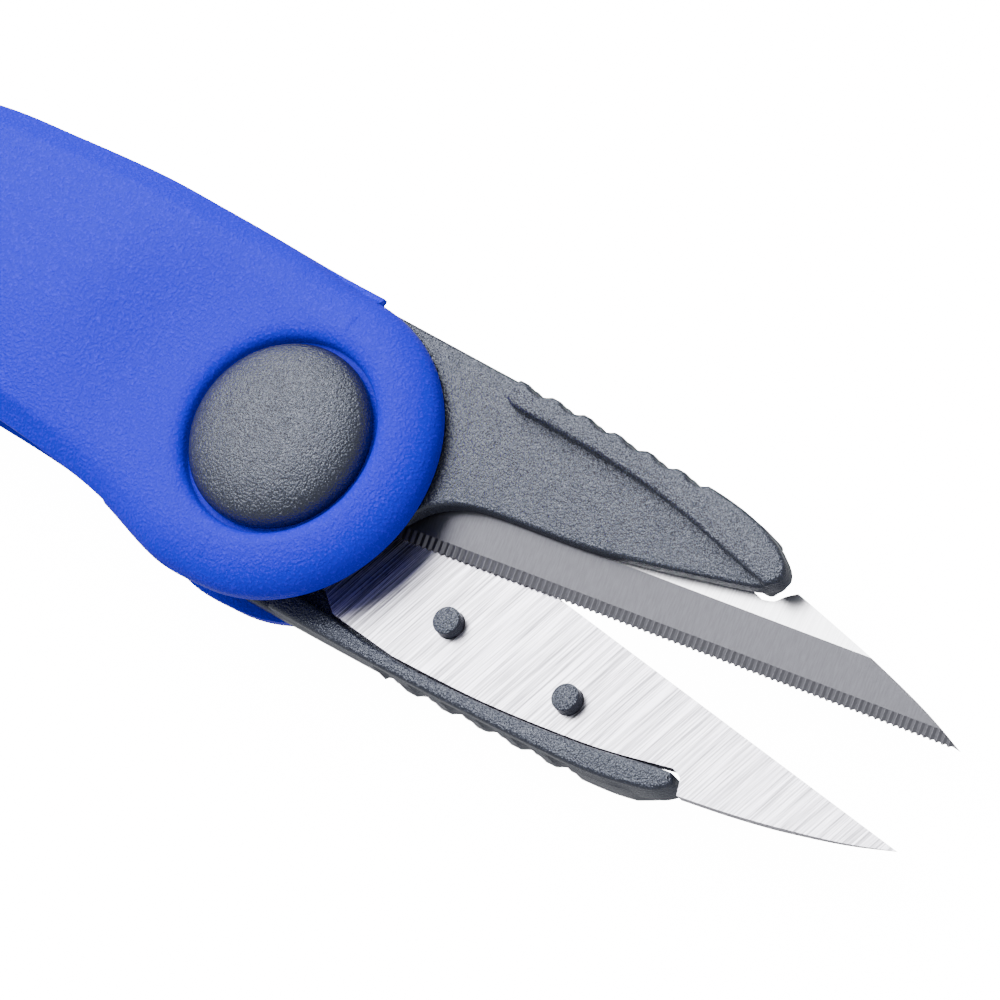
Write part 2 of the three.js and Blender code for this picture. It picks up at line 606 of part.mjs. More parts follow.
// ---------- Assembly ----------
function assemble() {
  const snips = new THREE.Group();
  snips.name = 'thread_snips';
  const stand = new THREE.Group();
  stand.position.z = BUTTON_TOP;
  snips.add(stand);
  const place = (name, manifold, material) => {
    const mesh = new THREE.Mesh(geometryOf(manifold), material);
    mesh.name = name;
    stand.add(mesh);
  };
  place('front_shell', frontShell(), blueMaterial());
  place('rear_shell', rearShell(), blueMaterial());
  place('front_button', buttonCap(), greyMaterial());
  place('rear_button', toRear(buttonCap()), greyMaterial());
  place('pivot_screw', pivotScrew(), hardwareMaterial());
  place('pivot_nut', pivotNut(), hardwareMaterial());
  place('pivot_sleeve', pivotSleeve(), hardwareMaterial());
  place('front_washer', thrustWasher(), hardwareMaterial());
  place('rear_washer', toRear(thrustWasher()), hardwareMaterial());
  place('spring_carrier', springCarrier(), greyMaterial());
  place('return_spring', returnSpring(), springMaterial());
  place('front_arm', arm(frontSide), greyMaterial());
  place('rear_arm', toRear(arm(rearSide)), greyMaterial());
  place('front_blade', blade(frontNotch(), true), bladeMaterial());
  place('rear_blade', toRear(blade(rearNotch(), false)), bladeMaterial());
  screwSpots.forEach((spot, i) => place(`shell_screw_${i + 1}`, shellScrew(spot), hardwareMaterial()));
  place('tail_eyelet', tailEyelet(), brassMaterial());
  return snips;
}

export default assemble();
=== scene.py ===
import math

import bmesh
import bpy
from mathutils import Matrix, Vector


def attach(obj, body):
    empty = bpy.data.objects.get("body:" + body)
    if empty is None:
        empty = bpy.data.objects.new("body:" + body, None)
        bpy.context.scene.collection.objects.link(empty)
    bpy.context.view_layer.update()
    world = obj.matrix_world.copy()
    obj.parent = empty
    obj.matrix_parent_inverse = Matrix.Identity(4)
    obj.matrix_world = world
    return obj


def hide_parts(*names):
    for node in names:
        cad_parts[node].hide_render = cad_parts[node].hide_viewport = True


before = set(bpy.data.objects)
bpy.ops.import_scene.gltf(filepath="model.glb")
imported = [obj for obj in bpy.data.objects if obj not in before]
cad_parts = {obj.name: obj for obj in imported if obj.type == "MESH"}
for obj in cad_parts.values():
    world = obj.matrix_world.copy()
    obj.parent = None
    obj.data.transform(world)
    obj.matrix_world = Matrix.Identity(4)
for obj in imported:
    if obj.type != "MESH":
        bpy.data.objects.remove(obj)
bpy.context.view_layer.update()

MM = 0.001

# ---------- Driving dimensions, in millimetres, heights from the middle plane ----------
MIDDLE = 6.6
DISC_RADIUS = 12.0
BUTTON_RADIUS = 7.1
BUTTON_TOP = 6.6
TAIL_X = -66.98
TAIL_TURN_X = -54.0
TAIL_TURN_WIDTH = 8.4
TAIL_DROP = 5.12
CASING_TOP = 6.3
LEDGE_X = 0.2
SPINE_END_X = -3.6
SPINE_WALL = 0.75
SLOT_INSET = 0.6
HUB_CEILING = 2.85
SLOT_CEILING = 3.95
LIP_EDGE = 4.35
FACE_EDGE = 5.55
RIM_EDGE = 3.35
RING_TOP = 5.2
BAND_WIDTH = 1.6
DISC_SHOULDER = 3.6
CROWN_START = 11.0
CROWN_FULL = 22.0
RECESS_FLOOR = 4.0
RECESS_RADIUS = 7.5
CEILING_STEP = 14.3
SWEEP_RADIUS = 60.15

BLADE_TIP = (59.5, 4.2)
BLADE_GAP = 0.05
BLADE_THICKNESS = 0.92
EDGE_START_Y = -3.01
EDGE_SLOPE = (BLADE_TIP[1] - EDGE_START_Y) / BLADE_TIP[0]
BEVEL_WIDTH = 3.9
TOOTH_PITCH = 0.533
TOOTH_DEPTH = 0.15
STRIP_WIDTH = 0.98
EDGE_START_X = 7.6
EDGE_THICKNESS = 0.08
TOOTHED_LENGTH = 51.2

ARM_HALF_WIDTH = 12.05
REAR_ARM_HALF_WIDTH = 10.6
ARM_BASE = 1.0
ARM_TOP = 2.5
GRIP_TOP = 3.7
LIP_REACH = 0.35
HUB_RADIUS = 9.6
SLEEVE_RADIUS = 2.6
FIT = 0.15
PEG_RADIUS = 1.07
PEGS = ((17.9, 5.35), (29.8, 6.08))
RIB_COUNT = 6
RIB_RADIUS = 1.25
RIB_DEPTH = 0.38

SCREWS = ((-47.0, 5.6), (-57.0, 1.2))
EYELET = (-62.9, -6.6)
EYELET_BORE = 1.6
PIVOT_BORE = 1.7
BOSS_RADIUS = 1.95
SCREW_BORE = 1.03
SCREW_HOLE = 1.15
HEAD_RECESS = 2.1
HEAD_SEAT = SLOT_CEILING + 0.35

CLEAR = 20  # a cutting tool reaches this far, past every surface


# ---------- Materials ----------
def new_material(name):
    """A node material and the pieces needed to wire it."""
    material = bpy.data.materials.new(name)
    material.use_nodes = True
    nodes = material.node_tree.nodes
    return material, nodes, material.node_tree.links, nodes["Principled BSDF"]


def object_coordinates(nodes, links, scale):
    coordinates = nodes.new("ShaderNodeTexCoord")
    mapping = nodes.new("ShaderNodeMapping")
    mapping.inputs["Scale"].default_value = scale
    links.new(coordinates.outputs["Object"], mapping.inputs["Vector"])
    return mapping.outputs["Vector"]


def noise(nodes, links, vector, scale, detail, roughness=0.5):
    """Fractal noise between 0 and 1."""
    texture = nodes.new("ShaderNodeTexNoise")
    texture.inputs["Scale"].default_value = scale
    texture.inputs["Detail"].default_value = detail
    texture.inputs["Roughness"].default_value = roughness
    links.new(vector, texture.inputs["Vector"])
    return texture.outputs["Fac"]


def ramp(nodes, links, value, stops):
    """Colours spread over a value."""
    node = nodes.new("ShaderNodeValToRGB")
    node.color_ramp.elements[0].position = stops[0][0]
    node.color_ramp.elements[0].color = stops[0][1]
    node.color_ramp.elements[1].position = stops[-1][0]
    node.color_ramp.elements[1].color = stops[-1][1]
    for position, color in stops[1:-1]:
        node.color_ramp.elements.new(position).color = color
    links.new(value, node.inputs["Fac"])
    return node.outputs["Color"]


def bump(nodes, links, height, distance, strength=1.0):
    """Fine relief from a height."""
    node = nodes.new("ShaderNodeBump")
    node.inputs["Distance"].default_value = distance
    node.inputs["Strength"].default_value = strength
    links.new(height, node.inputs["Height"])
    return node.outputs["Normal"]


def grained_plastic(name, color, glint, roughness, grain, depth, specular):
    """Moulded plastic with a fine sparkling grain; glint is the colour of the pale dots, painted highlights
    of the sparkle laid into the base colour.
    """
    material, nodes, links, shader = new_material(name)
    vector = object_coordinates(nodes, links, (1, 1, 1))
    coarse = noise(nodes, links, vector, grain, 1.5, 0.6)
    # painted highlight: the pale glint dots in the base colour stand in for the sparkle of light on the grain
    tone_with_painted_glints = ramp(nodes, links, coarse, [(0.52, color), (0.75, glint)])
    links.new(tone_with_painted_glints, shader.inputs["Base Color"])
    shader.inputs["Roughness"].default_value = roughness
    shader.inputs["Specular IOR Level"].default_value = specular
    shader.inputs["Specular Tint"].default_value = (0.80, 0.86, 1, 1)
    links.new(bump(nodes, links, coarse, depth), shader.inputs["Normal"])
    return material


blue = grained_plastic(
    "blue_plastic", (0.008, 0.0, 0.72, 1), (0.03, 0.01, 0.95, 1),
    roughness=0.34, grain=5000, depth=0.00010, specular=0.11,
)
grey = grained_plastic(
    "grey_plastic", (0.014, 0.017, 0.030, 1), (0.045, 0.05, 0.08, 1),
    roughness=0.26, grain=6200, depth=0.00012, specular=0.95,
)
grey_smooth = grained_plastic(
    "grey_plastic_smooth", (0.02, 0.024, 0.032, 1), (0.04, 0.044, 0.05, 1),
    roughness=0.34, grain=1500, depth=0.00001, specular=0.3,
)


def ground_steel(name, color, roughness, angle, depth, contrast=0.85):
    """Steel with straight grinding lines; angle is the lines' direction about the upright axis."""
    material, nodes, links, shader = new_material(name)
    shader.inputs["Metallic"].default_value = 1.0
    coordinates = nodes.new("ShaderNodeTexCoord")
    turn = nodes.new("ShaderNodeMapping")
    turn.inputs["Rotation"].default_value = (0, 0, -angle)
    links.new(coordinates.outputs["Object"], turn.inputs["Vector"])
    stretch = nodes.new("ShaderNodeMapping")
    stretch.inputs["Scale"].default_value = (0.03, 1.6, 1)
    links.new(turn.outputs["Vector"], stretch.inputs["Vector"])
    lines = noise(nodes, links, stretch.outputs["Vector"], 4500, 3.0, 0.6)
    dark = tuple(c * contrast for c in color[:3]) + (1,)
    links.new(ramp(nodes, links, lines, [(0.35, dark), (0.62, color)]), shader.inputs["Base Color"])
    shader.inputs["Roughness"].default_value = roughness
    links.new(bump(nodes, links, lines, depth), shader.inputs["Normal"])
    return material


edge_angle = math.atan(EDGE_SLOPE)
across_edge = edge_angle + math.pi / 2
flat_steel = ground_steel("flat_steel", (0.84, 0.84, 0.88, 1), 0.34, across_edge, 0.000006, 0.8)
bevel_steel = ground_steel("bevel_steel", (0.30, 0.285, 0.35, 1), 0.36, across_edge, 0.00002, 0.3)
tooth_steel = ground_steel("tooth_steel", (0.16, 0.16, 0.18, 1), 0.38, across_edge, 0.000004)
rear_steel = ground_steel("rear_steel", (0.84, 0.82, 0.90, 1), 0.36, 1.25, 0.00002, 0.3)


def plain_metal(name, color, roughness):
    """Plated or bare metal with a faint unevenness."""
    material, nodes, links, shader = new_material(name)
    shader.inputs["Metallic"].default_value = 1.0
    shader.inputs["Base Color"].default_value = color
    shader.inputs["Roughness"].default_value = roughness
    vector = object_coordinates(nodes, links, (1, 1, 1))
    links.new(bump(nodes, links, noise(nodes, links, vector, 2500, 2.0), 0.000004), shader.inputs["Normal"])
    return material


zinc = plain_metal("zinc_steel", (0.62, 0.62, 0.64, 1), 0.3)
spring_steel = plain_metal("spring_steel", (0.45, 0.46, 0.48, 1), 0.32)
nickel = plain_metal("nickel_plate", (0.72, 0.70, 0.66, 1), 0.22)


# ---------- Mesh helpers ----------
def place(x, y, z):
    """A point in millimetres from the middle plane, in the frame of the part."""
    return (x * MM, y * MM, (z + MIDDLE) * MM)


def mesh_object(name, points, faces, material):
    mesh = bpy.data.meshes.new(name)
    mesh.from_pydata([place(*p) for p in points], [], faces)
    mesh.materials.append(material)
    tidy(mesh)
    obj = bpy.data.objects.new(name, mesh)
    bpy.context.collection.objects.link(obj)
    return obj


def tidy(mesh):
    """Merges doubled points and turns every face outward."""
    work = bmesh.new()
    work.from_mesh(mesh)
    bmesh.ops.remove_doubles(work, verts=work.verts, dist=2e-7)
    bmesh.ops.dissolve_degenerate(work, edges=work.edges, dist=1e-7)
    bmesh.ops.recalc_face_normals(work, faces=work.faces)
    work.to_mesh(mesh)
    work.free()


def smooth(obj, degrees=35):
    """Shades smooth between sharp edges."""
    mesh = obj.data
    mesh.polygons.foreach_set("use_smooth", [True] * len(mesh.polygons))
    mesh.set_sharp_from_angle(angle=math.radians(degrees))
    mesh.update()


def boolean(obj, tool, operation):
    """Applies a tool and uses it up; cut faces take a material of the piece itself."""
    modifier = obj.modifiers.new("cut", "BOOLEAN")
    modifier.operation = operation
    modifier.solver = "MANIFOLD"
    modifier.object = tool
    bpy.context.view_layer.objects.active = obj
    own = len(obj.data.materials)
    bpy.ops.object.modifier_apply(modifier=modifier.name)
    bpy.data.objects.remove(tool)
    for face in obj.data.polygons:
        face.material_index = min(face.material_index, own - 1) if own > 1 else 0
    while len(obj.data.materials) > own:
        obj.data.materials.pop()


def cut(obj, *tools):
    for tool in tools:
        boolean(obj, tool, "DIFFERENCE")
    return obj


def join(obj, *others):
    for other in others:
        boolean(obj, other, "UNION")
    return obj


def turned(name, profile, material, sides=96, centre=(0, 0)):
    """A closed body turned about an upright axis; profile is an open list of (radius, height)."""
    points, faces = [], []
    rows = len(profile)
    for i in range(sides):
        angle = 2 * math.pi * i / sides
        for radius, height in profile:
            x = centre[0] + radius * math.cos(angle)
            y = centre[1] + radius * math.sin(angle)
            points.append((x, y, height))
    for i in range(sides):
        after = (i + 1) % sides
        for j in range(rows):
            below = (j + 1) % rows
            faces.append((i * rows + j, after * rows + j, after * rows + below, i * rows + below))
    return mesh_object(name, points, faces, material)


def cylinder(radius, low, high, x=0.0, y=0.0, sides=48, material=None):
    profile = [(0, low), (radius, low), (radius, high), (0, high)]
    return turned("tool", profile, material or grey, sides, (x, y))


def slab(name, outline, low, high, material, soft=0.0, steps=3):
    """An upright slab over a closed outline, with its rims rounded by the given amount."""
    levels = []
    for i in range(steps + 1):
        turn = (math.pi / 2) * i / steps
        levels.append((low + soft * (1 - math.sin(turn)), soft * (1 - math.cos(turn))))
    bottom = sorted(levels)
    top = [(high - (z - low), inset) for z, inset in sorted(levels, reverse=True)]
    rings = bottom + top if soft > 0 else [(low, 0), (high, 0)]
    count = len(outline)
    points, faces = [], []
    for z, inset in rings:
        points += [(x, y, z) for x, y in moved_in(outline, inset)]
    for level in range(len(rings) - 1):
        for i in range(count):
            after = (i + 1) % count
            a, b = level * count, (level + 1) * count
            faces.append((a + i, a + after, b + after, b + i))
    faces.append(tuple(range(count))[::-1])
    last = (len(rings) - 1) * count
    faces.append(tuple(last + i for i in range(count)))
    return mesh_object(name, points, faces, material)


def moved_in(outline, amount):
    """The outline with every point moved inward along its own normal."""
    if amount == 0:
        return list(outline)
    count = len(outline)
    area = sum(outline[i - 1][0] * outline[i][1] - outline[i][0] * outline[i - 1][1] for i in range(count))
    sign = 1 if area > 0 else -1
    result = []
    for i in range(count):
        before, here, after = (Vector(outline[k % count]) for k in (i - 1, i, i + 1))
        one = (here - before).normalized()
        two = (after - here).normalized()
        normal = Vector((-(one + two).y, (one + two).x)) * sign
        if normal.length < 1e-6:
            result.append(tuple(here))
            continue
        normal.normalize()
        bend = max(abs(normal.dot(Vector((-one.y, one.x)))), 0.5)
        result.append(tuple(here + normal * (amount / bend)))
    return result


def curve_through(points, per_span=8):
    """A smooth open line through the points."""
    result = []
    last = len(points) - 1
    for i in range(last):
        a = points[max(i - 1, 0)]
        b, c = points[i], points[i + 1]
        d = points[min(i + 2, last)]
        for k in range(per_span):
            t = k / per_span
            result.append(tuple(catmull(t, a[n], b[n], c[n], d[n]) for n in range(len(b))))
    result.append(tuple(points[last]))
    return result


def catmull(t, a, b, c, d):
    v0, v1 = (c - a) * 0.5, (d - b) * 0.5
    return (2 * b - 2 * c + v0 + v1) * t**3 + (-3 * b + 3 * c - 2 * v0 - v1) * t**2 + v0 * t + b


def smoothstep(x, low, high):
    t = min(max((x - low) / (high - low), 0.0), 1.0)
    return t * t * (3 - 2 * t)


def turn_over(obj):
    """Half a turn about the snips' long axis."""
    pivot = Matrix.Translation((0, 0, MIDDLE * MM))
    obj.data.transform(pivot @ Matrix.Rotation(math.pi, 4, "X") @ pivot.inverted())
    return obj


def reflect(obj):
    """Reflection in the middle plane."""
    pivot = Matrix.Translation((0, 0, MIDDLE * MM))
    obj.data.transform(pivot @ Matrix.Scale(-1, 4, (0, 0, 1)) @ pivot.inverted())
    obj.data.flip_normals()
    return obj


# ---------- Casing ----------
STATIONS = (
    (TAIL_TURN_X, -2.8, TAIL_TURN_WIDTH), (-45, -0.1, 9.4), (-35.8, 1.45, 9.95), (-28.6, 1.85, 10.25),
    (-21, 1.95, 10.65), (-14.8, 1.63, 10.985), (-10.3, 1.2, 11.4), (-4.2, 0.28, 12.2), (LEDGE_X, 0.24, 12.26),
)
casing_line = curve_through(STATIONS, 24)


def casing_edges(x, inset):
    """The lower and upper edge of the casing at x, drawn in by inset on the disc and the open side."""
    if x > LEDGE_X:
        half = math.sqrt(max((DISC_RADIUS - inset) ** 2 - x**2, 0))
        return -half, half
    if x < TAIL_TURN_X:
        along = min((TAIL_TURN_X - x) / (TAIL_TURN_X - TAIL_X), 1)
        middle = STATIONS[0][1] - TAIL_DROP * along
        half = TAIL_TURN_WIDTH * math.sqrt(max(1 - along**2, 0))
    else:
        for left, right in zip(casing_line, casing_line[1:]):
            if left[0] <= x <= right[0]:
                break
        share = (x - left[0]) / (right[0] - left[0])
        middle = left[1] + (right[1] - left[1]) * share
        half = left[2] + (right[2] - left[2]) * share
    narrower = inset * min(half / TAIL_TURN_WIDTH, 1)
    near_disc = 1 - smoothstep(-x, 0, 3.5)
    return middle - half + narrower, middle + half - inset * near_disc


def face_height(x, y, low, high, inset):
    """Height of the outer face: a rounded disc that runs into a sloped band and a crowned body."""
    disc = DISC_RADIUS - inset
    inward = max(disc - math.hypot(x, y) if x > LEDGE_X else min(high - y, y - low), 0)
    half = max((high - low) / 2, 0.01)
    past = max((high if y > 0 else -low) - disc, 0)
    ledge = past * (1 - smoothstep(-x, 1, 8)) if x < LEDGE_X + 0.0005 else 0
    turn = 1 - min(max(inward - ledge, 0) / DISC_SHOULDER, 1)
    on_disc = RIM_EDGE + (RING_TOP - RIM_EDGE) * math.sqrt(1 - turn**2)
    across = min(max((inward - BAND_WIDTH) / max(half - BAND_WIDTH, 0.01), 0), 1)
    on_band = LIP_EDGE + (FACE_EDGE - LIP_EDGE) * min(inward / BAND_WIDTH, 1)
    on_body = on_band + (CASING_TOP - FACE_EDGE) * (1 - (1 - across) ** 2)
    away_from_pivot = smoothstep(math.hypot(x, y), CROWN_START, CROWN_FULL)
    return on_disc + (on_body - on_disc) * away_from_pivot * smoothstep(-x, 0, 4)


def station_list(inset):
    """Where the cross sections stand, from the front of the disc to the tail."""
    disc = DISC_RADIUS - inset
    disc_end = math.acos((LEDGE_X + 0.02) / disc)
    stations = [disc * math.cos(i / 48 * disc_end) for i in range(49)] + [LEDGE_X + 0.001, LEDGE_X]
    x = LEDGE_X - 0.6
    while x > TAIL_TURN_X:
        stations.append(x)
        x -= 0.8
    for i in range(33):
        stations.append(TAIL_TURN_X + (TAIL_X - TAIL_TURN_X) * math.sin(i / 32 * math.pi / 2))
    return stations


def casing_blank(name, inset, material):
    """One solid half of the casing, before its cavity."""
    stations = station_list(inset)
    across = 72
    points, faces = [], []
    for x in stations:
        low, high = casing_edges(x, inset)
        points.append((x, low, 0.01))
        for i in range(across + 1):
            y = low + (high - low) * (1 - math.cos(i / across * math.pi)) / 2
            points.append((x, y, face_height(x, y, low, high, inset)))
        points.append((x, high, 0.01))
    row = across + 3
    for s in range(len(stations) - 1):
        for i in range(row):
            after = (i + 1) % row
            faces.append((s * row + i, s * row + after, (s + 1) * row + after, (s + 1) * row + i))
    return mesh_object(name, points, faces, material)


def cavity_tools():
    """The slot that takes the folded arms and blades, and the low room about the pivot."""
    reach = -30
    outline = [(SPINE_END_X, casing_edges(SPINE_END_X, 0)[1] - SPINE_WALL)]
    x = SPINE_END_X - 1
    while x > -52:
        outline.append((x, casing_edges(x, 0)[1] - SPINE_WALL))
        x -= 1.5
    outline.append((-55, casing_edges(-55, 0)[1] - 1.2))
    outline.append((-58.5, casing_edges(-58.5, 0)[1] - 2.4))
    outline.append((-SWEEP_RADIUS, 0))
    for i in range(1, 13):
        angle = math.pi * (1 + 0.13 * i / 12)
        outline.append((SWEEP_RADIUS * math.cos(angle), SWEEP_RADIUS * math.sin(angle)))
    outline += [(-50, reach), (SPINE_END_X, reach)]
    tall = slab("tool", outline, -1, SLOT_CEILING, grey)
    profile = [(0, HUB_CEILING), (CEILING_STEP, HUB_CEILING), (CEILING_STEP, CLEAR), (0, CLEAR)]
    step = turned("tool", profile, grey, 128)
    cut(tall, step)
    end = [(SPINE_END_X, reach), (24, reach), (24, -reach), (SPINE_END_X, -reach)]
    return tall, slab("tool", end, -1, HUB_CEILING, grey)


def button_seat():
    """The recess for a button, with the rounded crest about it."""
    rounding = (
        (0, -0.75), (0.07, -0.5), (0.22, -0.3), (0.45, -0.15), (0.75, -0.06),
        (1.1, -0.01), (1.6, 0.06), (2.2, 0.3),
    )
    profile = [(0, RECESS_FLOOR), (RECESS_RADIUS, RECESS_FLOOR)]
    profile += [(RECESS_RADIUS + out, RING_TOP + up) for out, up in rounding]
    profile += [(RECESS_RADIUS + 2.2, CLEAR), (0, CLEAR)]
    return turned("tool", profile, grey, 160)


def casing_half(name, inset, material):
    """A half of the casing with its cavity, screw bosses, pivot bore and eyelet seat."""
    shell = casing_blank(name, inset, material)
    cut(shell, *cavity_tools())
    join(shell, *[cylinder(BOSS_RADIUS, 0.01, LIP_EDGE, x, y, 40) for x, y in SCREWS])
    cut(
        shell,
        button_seat(),
        cylinder(PIVOT_BORE, -1, CLEAR),
        cylinder(EYELET_BORE + 0.65, -1, CLEAR, *EYELET),
        cylinder(EYELET_BORE + 1.5, LIP_EDGE, CLEAR, *EYELET),
    )
    return shell


front_shell = casing_half("front_shell_moulding", 0.0, blue)
cut(front_shell, *[cylinder(SCREW_BORE, -1, SLOT_CEILING, x, y) for x, y in SCREWS])
smooth(front_shell, 32)
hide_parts("front_shell")
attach(front_shell, "casing")

rear_shell = casing_half("rear_shell_moulding", SLOT_INSET, blue)
cut(rear_shell, *[cylinder(SCREW_HOLE, -1, CLEAR, x, y) for x, y in SCREWS])
cut(rear_shell, *[cylinder(HEAD_RECESS, HEAD_SEAT, CLEAR, x, y) for x, y in SCREWS])
reflect(rear_shell)
smooth(rear_shell, 32)
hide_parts("rear_shell")
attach(rear_shell, "casing")


# ---------- Buttons ----------
def button(name):
    """A domed cap, hollow underneath."""
    base = RECESS_FLOOR
    shoulder = BUTTON_TOP - 1.75
    profile = [(0, base + 1.6), (4.2, base + 1.3), (4.6, base + 0.01), (BUTTON_RADIUS - 0.35, base + 0.01)]
    profile += [(BUTTON_RADIUS - 0.1, base + 0.1), (BUTTON_RADIUS, base + 0.35)]
    profile.append((BUTTON_RADIUS, shoulder - 0.3))
    steps = 20
    for i in range(steps + 1):
        along = i / steps
        radius = BUTTON_RADIUS - 0.03 - (BUTTON_RADIUS - 1.63) * along
        profile.append((radius, shoulder + (BUTTON_TOP - shoulder) * math.sqrt(1 - (1 - along) ** 2)))
    profile.append((0, BUTTON_TOP))
    return turned(name, profile, grey, 128)


front_button = button("front_button_cap")
smooth(front_button, 40)
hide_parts("front_button")
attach(front_button, "casing")
rear_button = turn_over(button("rear_button_cap"))
smooth(rear_button, 40)
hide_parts("rear_button")
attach(rear_button, "casing")


# ---------- Arms ----------
GRIP_START_X = 13.5
FRONT_SIDE = {
    "half": ARM_HALF_WIDTH,
    "edge": [(20, 0), (27, 0.15), (32, 0.25), (35, 0.5), (37.5, 0.95)],
    "end": [(-1.8, 10.35), (-0.5, 9.5), (0, 8.7), (-0.3, 7.95), (-1, 7.4)],
    "reach": {"grip": 41.25, "plate": 40.5, "lip": 39.75},
    "ribs": (15.6, 3.02),
}
REAR_SIDE = {
    "half": REAR_ARM_HALF_WIDTH,
    "edge": [(20, 0.1), (27, 0.3), (32, 0.5), (35, 0.75), (37, 1.1)],
    "end": [(-1.5, 8.95), (-0.4, 8.3), (0, 7.75), (-0.25, 7.35), (-0.9, 7.05)],
    "reach": {"grip": 39.6, "plate": 40.3, "lip": 40.9},
    "ribs": (14.6, 3.28),
}
INNER = [
    (38.2, 6.9), (34.5, 5.95), (30.5, 4.95), (24.8, 3.75),
    (17.3, 2.8), (14.4, 2.1), (12.4, 0.9), (11, -0.9),
]
LIP = [(36, 7.75), (32.1, 8.4), (23.7, 9.25), (15.2, 9.5), (8.6, 8.95)]
GRIP = [(35.8, 8.25), (31.6, 9.05), (27.1, 9.65), (21.7, 9.95), (14.2, 10.05)]


def outer_edge(side, start):
    """The outer edge of an arm, from start to its end."""
    line = [(x, side["half"] - drop) for x, drop in side["edge"]]
    return [(start, side["half"]), ((start + 20) / 2, side["half"])] + line


def rounded_end(side, reach):
    """The rounded end of the grip, the plate or the lip."""
    return [(side["reach"][reach] + back, y) for back, y in side["end"]]


def arm_plate(name, side):
    """The flat plate and the hub of an arm."""
    hub = []
    for i in range(1, 60):
        angle = -0.3 - (2 * math.pi - 0.3 - math.pi * 0.54) * i / 60
        hub.append((HUB_RADIUS * math.cos(angle), HUB_RADIUS * math.sin(angle)))
    outline = curve_through(outer_edge(side, 0.9) + rounded_end(side, "plate") + INNER, 6) + hub
    return slab(name, outline, ARM_BASE, ARM_TOP, grey, 0.3, 4)


def arm_lip(side):
    """The lip that wraps the outer edge and hides the back of the blade."""
    outline = [(4.2, 8.7), (4.2, side["half"])]
    outline += curve_through(outer_edge(side, 6) + rounded_end(side, "lip") + LIP, 6)
    return slab("tool", moved_in(outline, 0.02), -LIP_REACH, ARM_TOP - 0.31, grey, 0.3, 4)


def rib_inset(side, x):
    """Depth of the wavy side of the grip below its full width."""
    first, pitch = side["ribs"]
    for i in range(RIB_COUNT):
        offset = abs(x - (first + pitch * i)) / 1.12
        if offset < 1:
            return RIB_DEPTH * math.cos(offset * math.pi / 2) ** 0.8
    return 0.0


def arm_grip(side):
    """The raised grip with its wavy side."""
    narrower = (ARM_HALF_WIDTH - side["half"]) * 0.55
    line = curve_through(outer_edge(side, GRIP_START_X), 24)[4:]
    ribbed = [(x, y - rib_inset(side, x)) for x, y in line]
    inner = [(x, y - narrower) for x, y in GRIP]
    low = inner[-1][1] + 0.35
    outline = [(GRIP_START_X, low), (GRIP_START_X, side["half"] - 0.3)]
    outline.append((GRIP_START_X + 0.2, side["half"]))
    outline += ribbed + curve_through(rounded_end(side, "grip"), 6) + curve_through(inner, 6)
    return slab("tool", moved_in(outline, 0.01), ARM_TOP - 0.6, GRIP_TOP, grey, 0.35, 4)


def rib_grooves(side):
    """Scallops between the ribs, one to a rib."""
    tools = []
    first, pitch = side["ribs"]
    line = curve_through(outer_edge(side, GRIP_START_X), 24)
    for i in range(RIB_COUNT):
        x = first + pitch * i
        edge = min(line, key=lambda p: abs(p[0] - x))[1]
        tools.append(cylinder(RIB_RADIUS, 0.6, GRIP_TOP + 1, x, edge + RIB_RADIUS - RIB_DEPTH + 0.02, 40))
    return tools


def arm(name, side):
    """A whole arm: plate, lip, grip and two pegs, bored for the sleeve."""
    body = arm_plate(name, side)
    join(body, arm_lip(side), arm_grip(side))
    for x, y in PEGS:
        profile = [(0, -0.9), (PEG_RADIUS - 0.12, -0.9), (PEG_RADIUS - 0.03, -0.86), (PEG_RADIUS, -0.76)]
        profile += [(PEG_RADIUS, ARM_TOP - 0.5), (0, ARM_TOP - 0.5)]
        join(body, turned("tool", profile, grey, 40, (x, y)))
    cut(body, cylinder(SLEEVE_RADIUS + FIT, -5, 5), *rib_grooves(side))
    return body


front_arm = arm("front_arm_moulding", FRONT_SIDE)
smooth(front_arm, 38)
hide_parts("front_arm")
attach(front_arm, "upper_jaw")
rear_arm = turn_over(arm("rear_arm_moulding", REAR_SIDE))
smooth(rear_arm, 38)
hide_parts("rear_arm")
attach(rear_arm, "lower_jaw")


# ---------- Blades ----------
def edge_y(x):
    """Height of the cutting edge at x."""
    return EDGE_START_Y + EDGE_SLOPE * x


BACK = [BLADE_TIP, (55.3, 5.55), (50.1, 6.8), (45.8, 7.65), (41.5, 8.45)]
FRONT_NOTCH = [(41.5, 8.45), (40.75, 7.85), (40.15, 7.15), (39.2, 6.85)]
REAR_NOTCH = [(41.6, 8.3), (41.35, 7.7), (41.0, 7.05), (40.1, 6.7)]


def tooth_line(start, end):
    """The toothed cutting edge: a fine zigzag of gullets and points."""
    points = []
    s = start
    while s < end:
        points += [(s, 0.0), (s + TOOTH_PITCH * 0.42, TOOTH_DEPTH), (s + TOOTH_PITCH * 0.58, TOOTH_DEPTH)]
        s += TOOTH_PITCH
    return [along_edge(s, t, 0)[:2] for s, t in points]


def blade_outline(notch, toothed):
    """The outline of a blade round its edge, tip, back, notch and heel."""
    slope = math.hypot(1, EDGE_SLOPE)
    points = [(EDGE_START_X, edge_y(EDGE_START_X))]
    if toothed:
        points += tooth_line(EDGE_START_X * slope + 0.5, (BLADE_TIP[0] - 0.8) * slope)
    else:
        points += [(x, edge_y(x)) for x in range(9, 59, 2)]
    points += curve_through(BACK[:-1] + notch[:1], 4)[:-1] + curve_through(notch, 3)
    points += [(x, y - 0.15) for x, y in curve_through(LIP[:4], 4)]
    points.append((9, 8.75))
    for i in range(13):
        angle = 0.86 - 1.06 * i / 12
        points.append((7.3 * math.cos(angle), 7.3 * math.sin(angle)))
    return points


def along_edge(s, t, z):
    """A point s along the cutting edge from the pivot's foot, t above the edge."""
    c, d = math.cos(edge_angle), math.sin(edge_angle)
    return (s * c - t * d, EDGE_START_Y + s * d + t * c, z)


